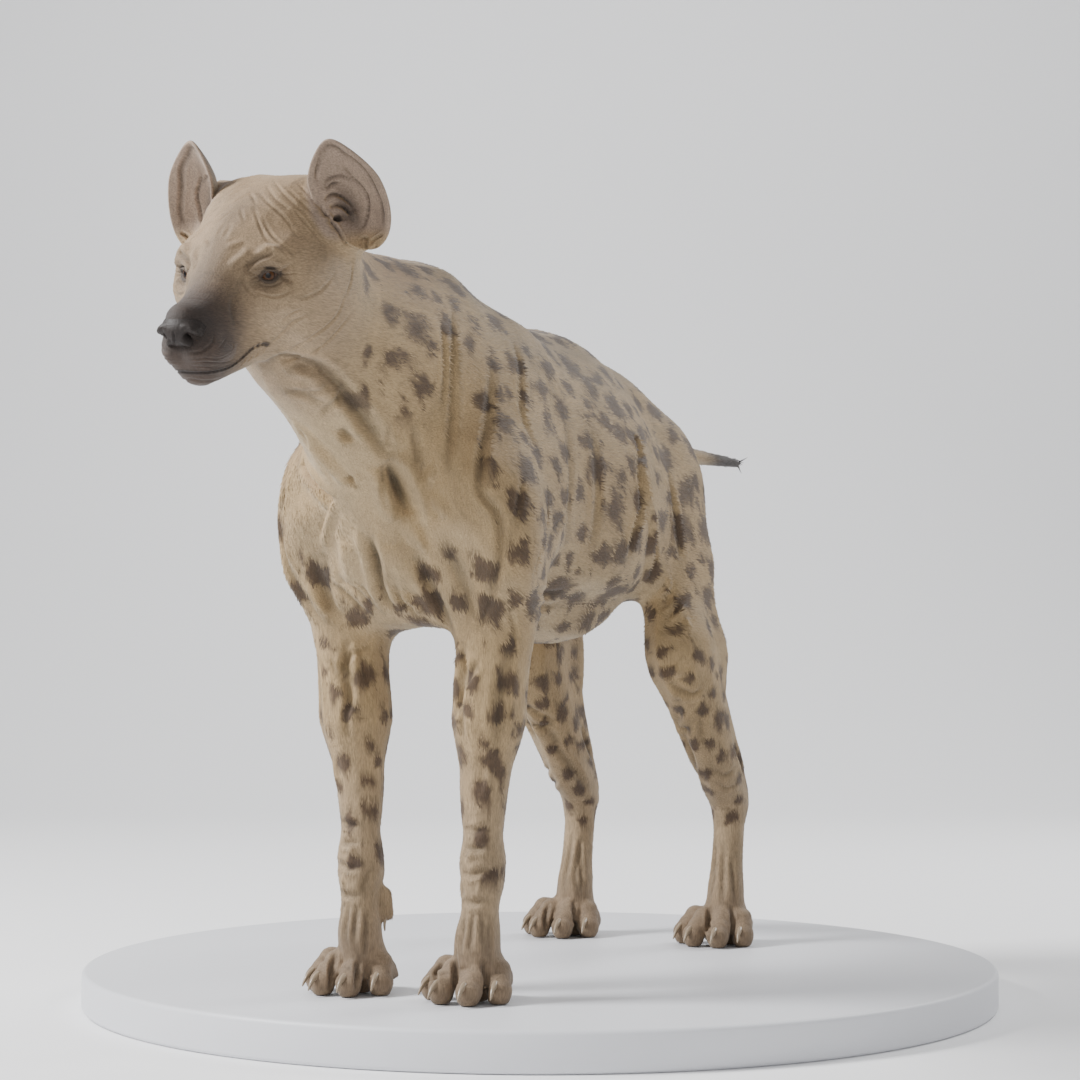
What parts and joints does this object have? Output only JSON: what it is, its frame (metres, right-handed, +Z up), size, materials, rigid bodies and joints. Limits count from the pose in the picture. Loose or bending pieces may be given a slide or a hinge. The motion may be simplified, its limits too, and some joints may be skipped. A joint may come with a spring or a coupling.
{
  "type": "spotted hyena model",
  "caption": "Life-size standing spotted hyena on a low round display base, head turned level, tail held straight back.",
  "frame": {"origin": "centre of the round base's underside, on the floor", "axes": "+Z up, the hyena faces -Y, its left side is on +X"},
  "size_m": [1.15, 1.4235, 0.9778],
  "materials": {
    "coat": "short coarse tan coat with irregular dark brown spots",
    "nose_leather": "damp black pebbled leather",
    "eye": "dark brown, wet gloss",
    "claw": "dark horn, satin",
    "base": "matt off-white"
  },
  "bodies": {
    "root": {"stand_base": "base", "head": "coat", "jaw": "coat", "nose": "nose_leather", "ear_left": "coat", "ear_right": "coat", "eye_left": "eye", "eye_right": "eye", "neck": "coat", "chest": "coat", "belly": "coat", "rump": "coat", "tail": "coat", "shoulder_left": "coat", "shoulder_right": "coat", "forearm_left": "coat", "forearm_right": "coat", "fore_pastern_left": "coat", "fore_pastern_right": "coat", "fore_paw_left": "coat", "fore_paw_right": "coat", "thigh_left": "coat", "thigh_right": "coat", "shank_left": "coat", "shank_right": "coat", "hind_pastern_left": "coat", "hind_pastern_right": "coat", "hind_paw_left": "coat", "hind_paw_right": "coat", "fore_claw_left_1": "claw", "fore_claw_left_2": "claw", "fore_claw_left_3": "claw", "fore_claw_left_4": "claw", "fore_claw_right_1": "claw", "fore_claw_right_2": "claw", "fore_claw_right_3": "claw", "fore_claw_right_4": "claw", "hind_claw_left_1": "claw", "hind_claw_left_2": "claw", "hind_claw_left_3": "claw", "hind_claw_left_4": "claw", "hind_claw_right_1": "claw", "hind_claw_right_2": "claw", "hind_claw_right_3": "claw", "hind_claw_right_4": "claw", "dewclaw_left": "claw", "dewclaw_right": "claw"}
  },
  "joints": []
}
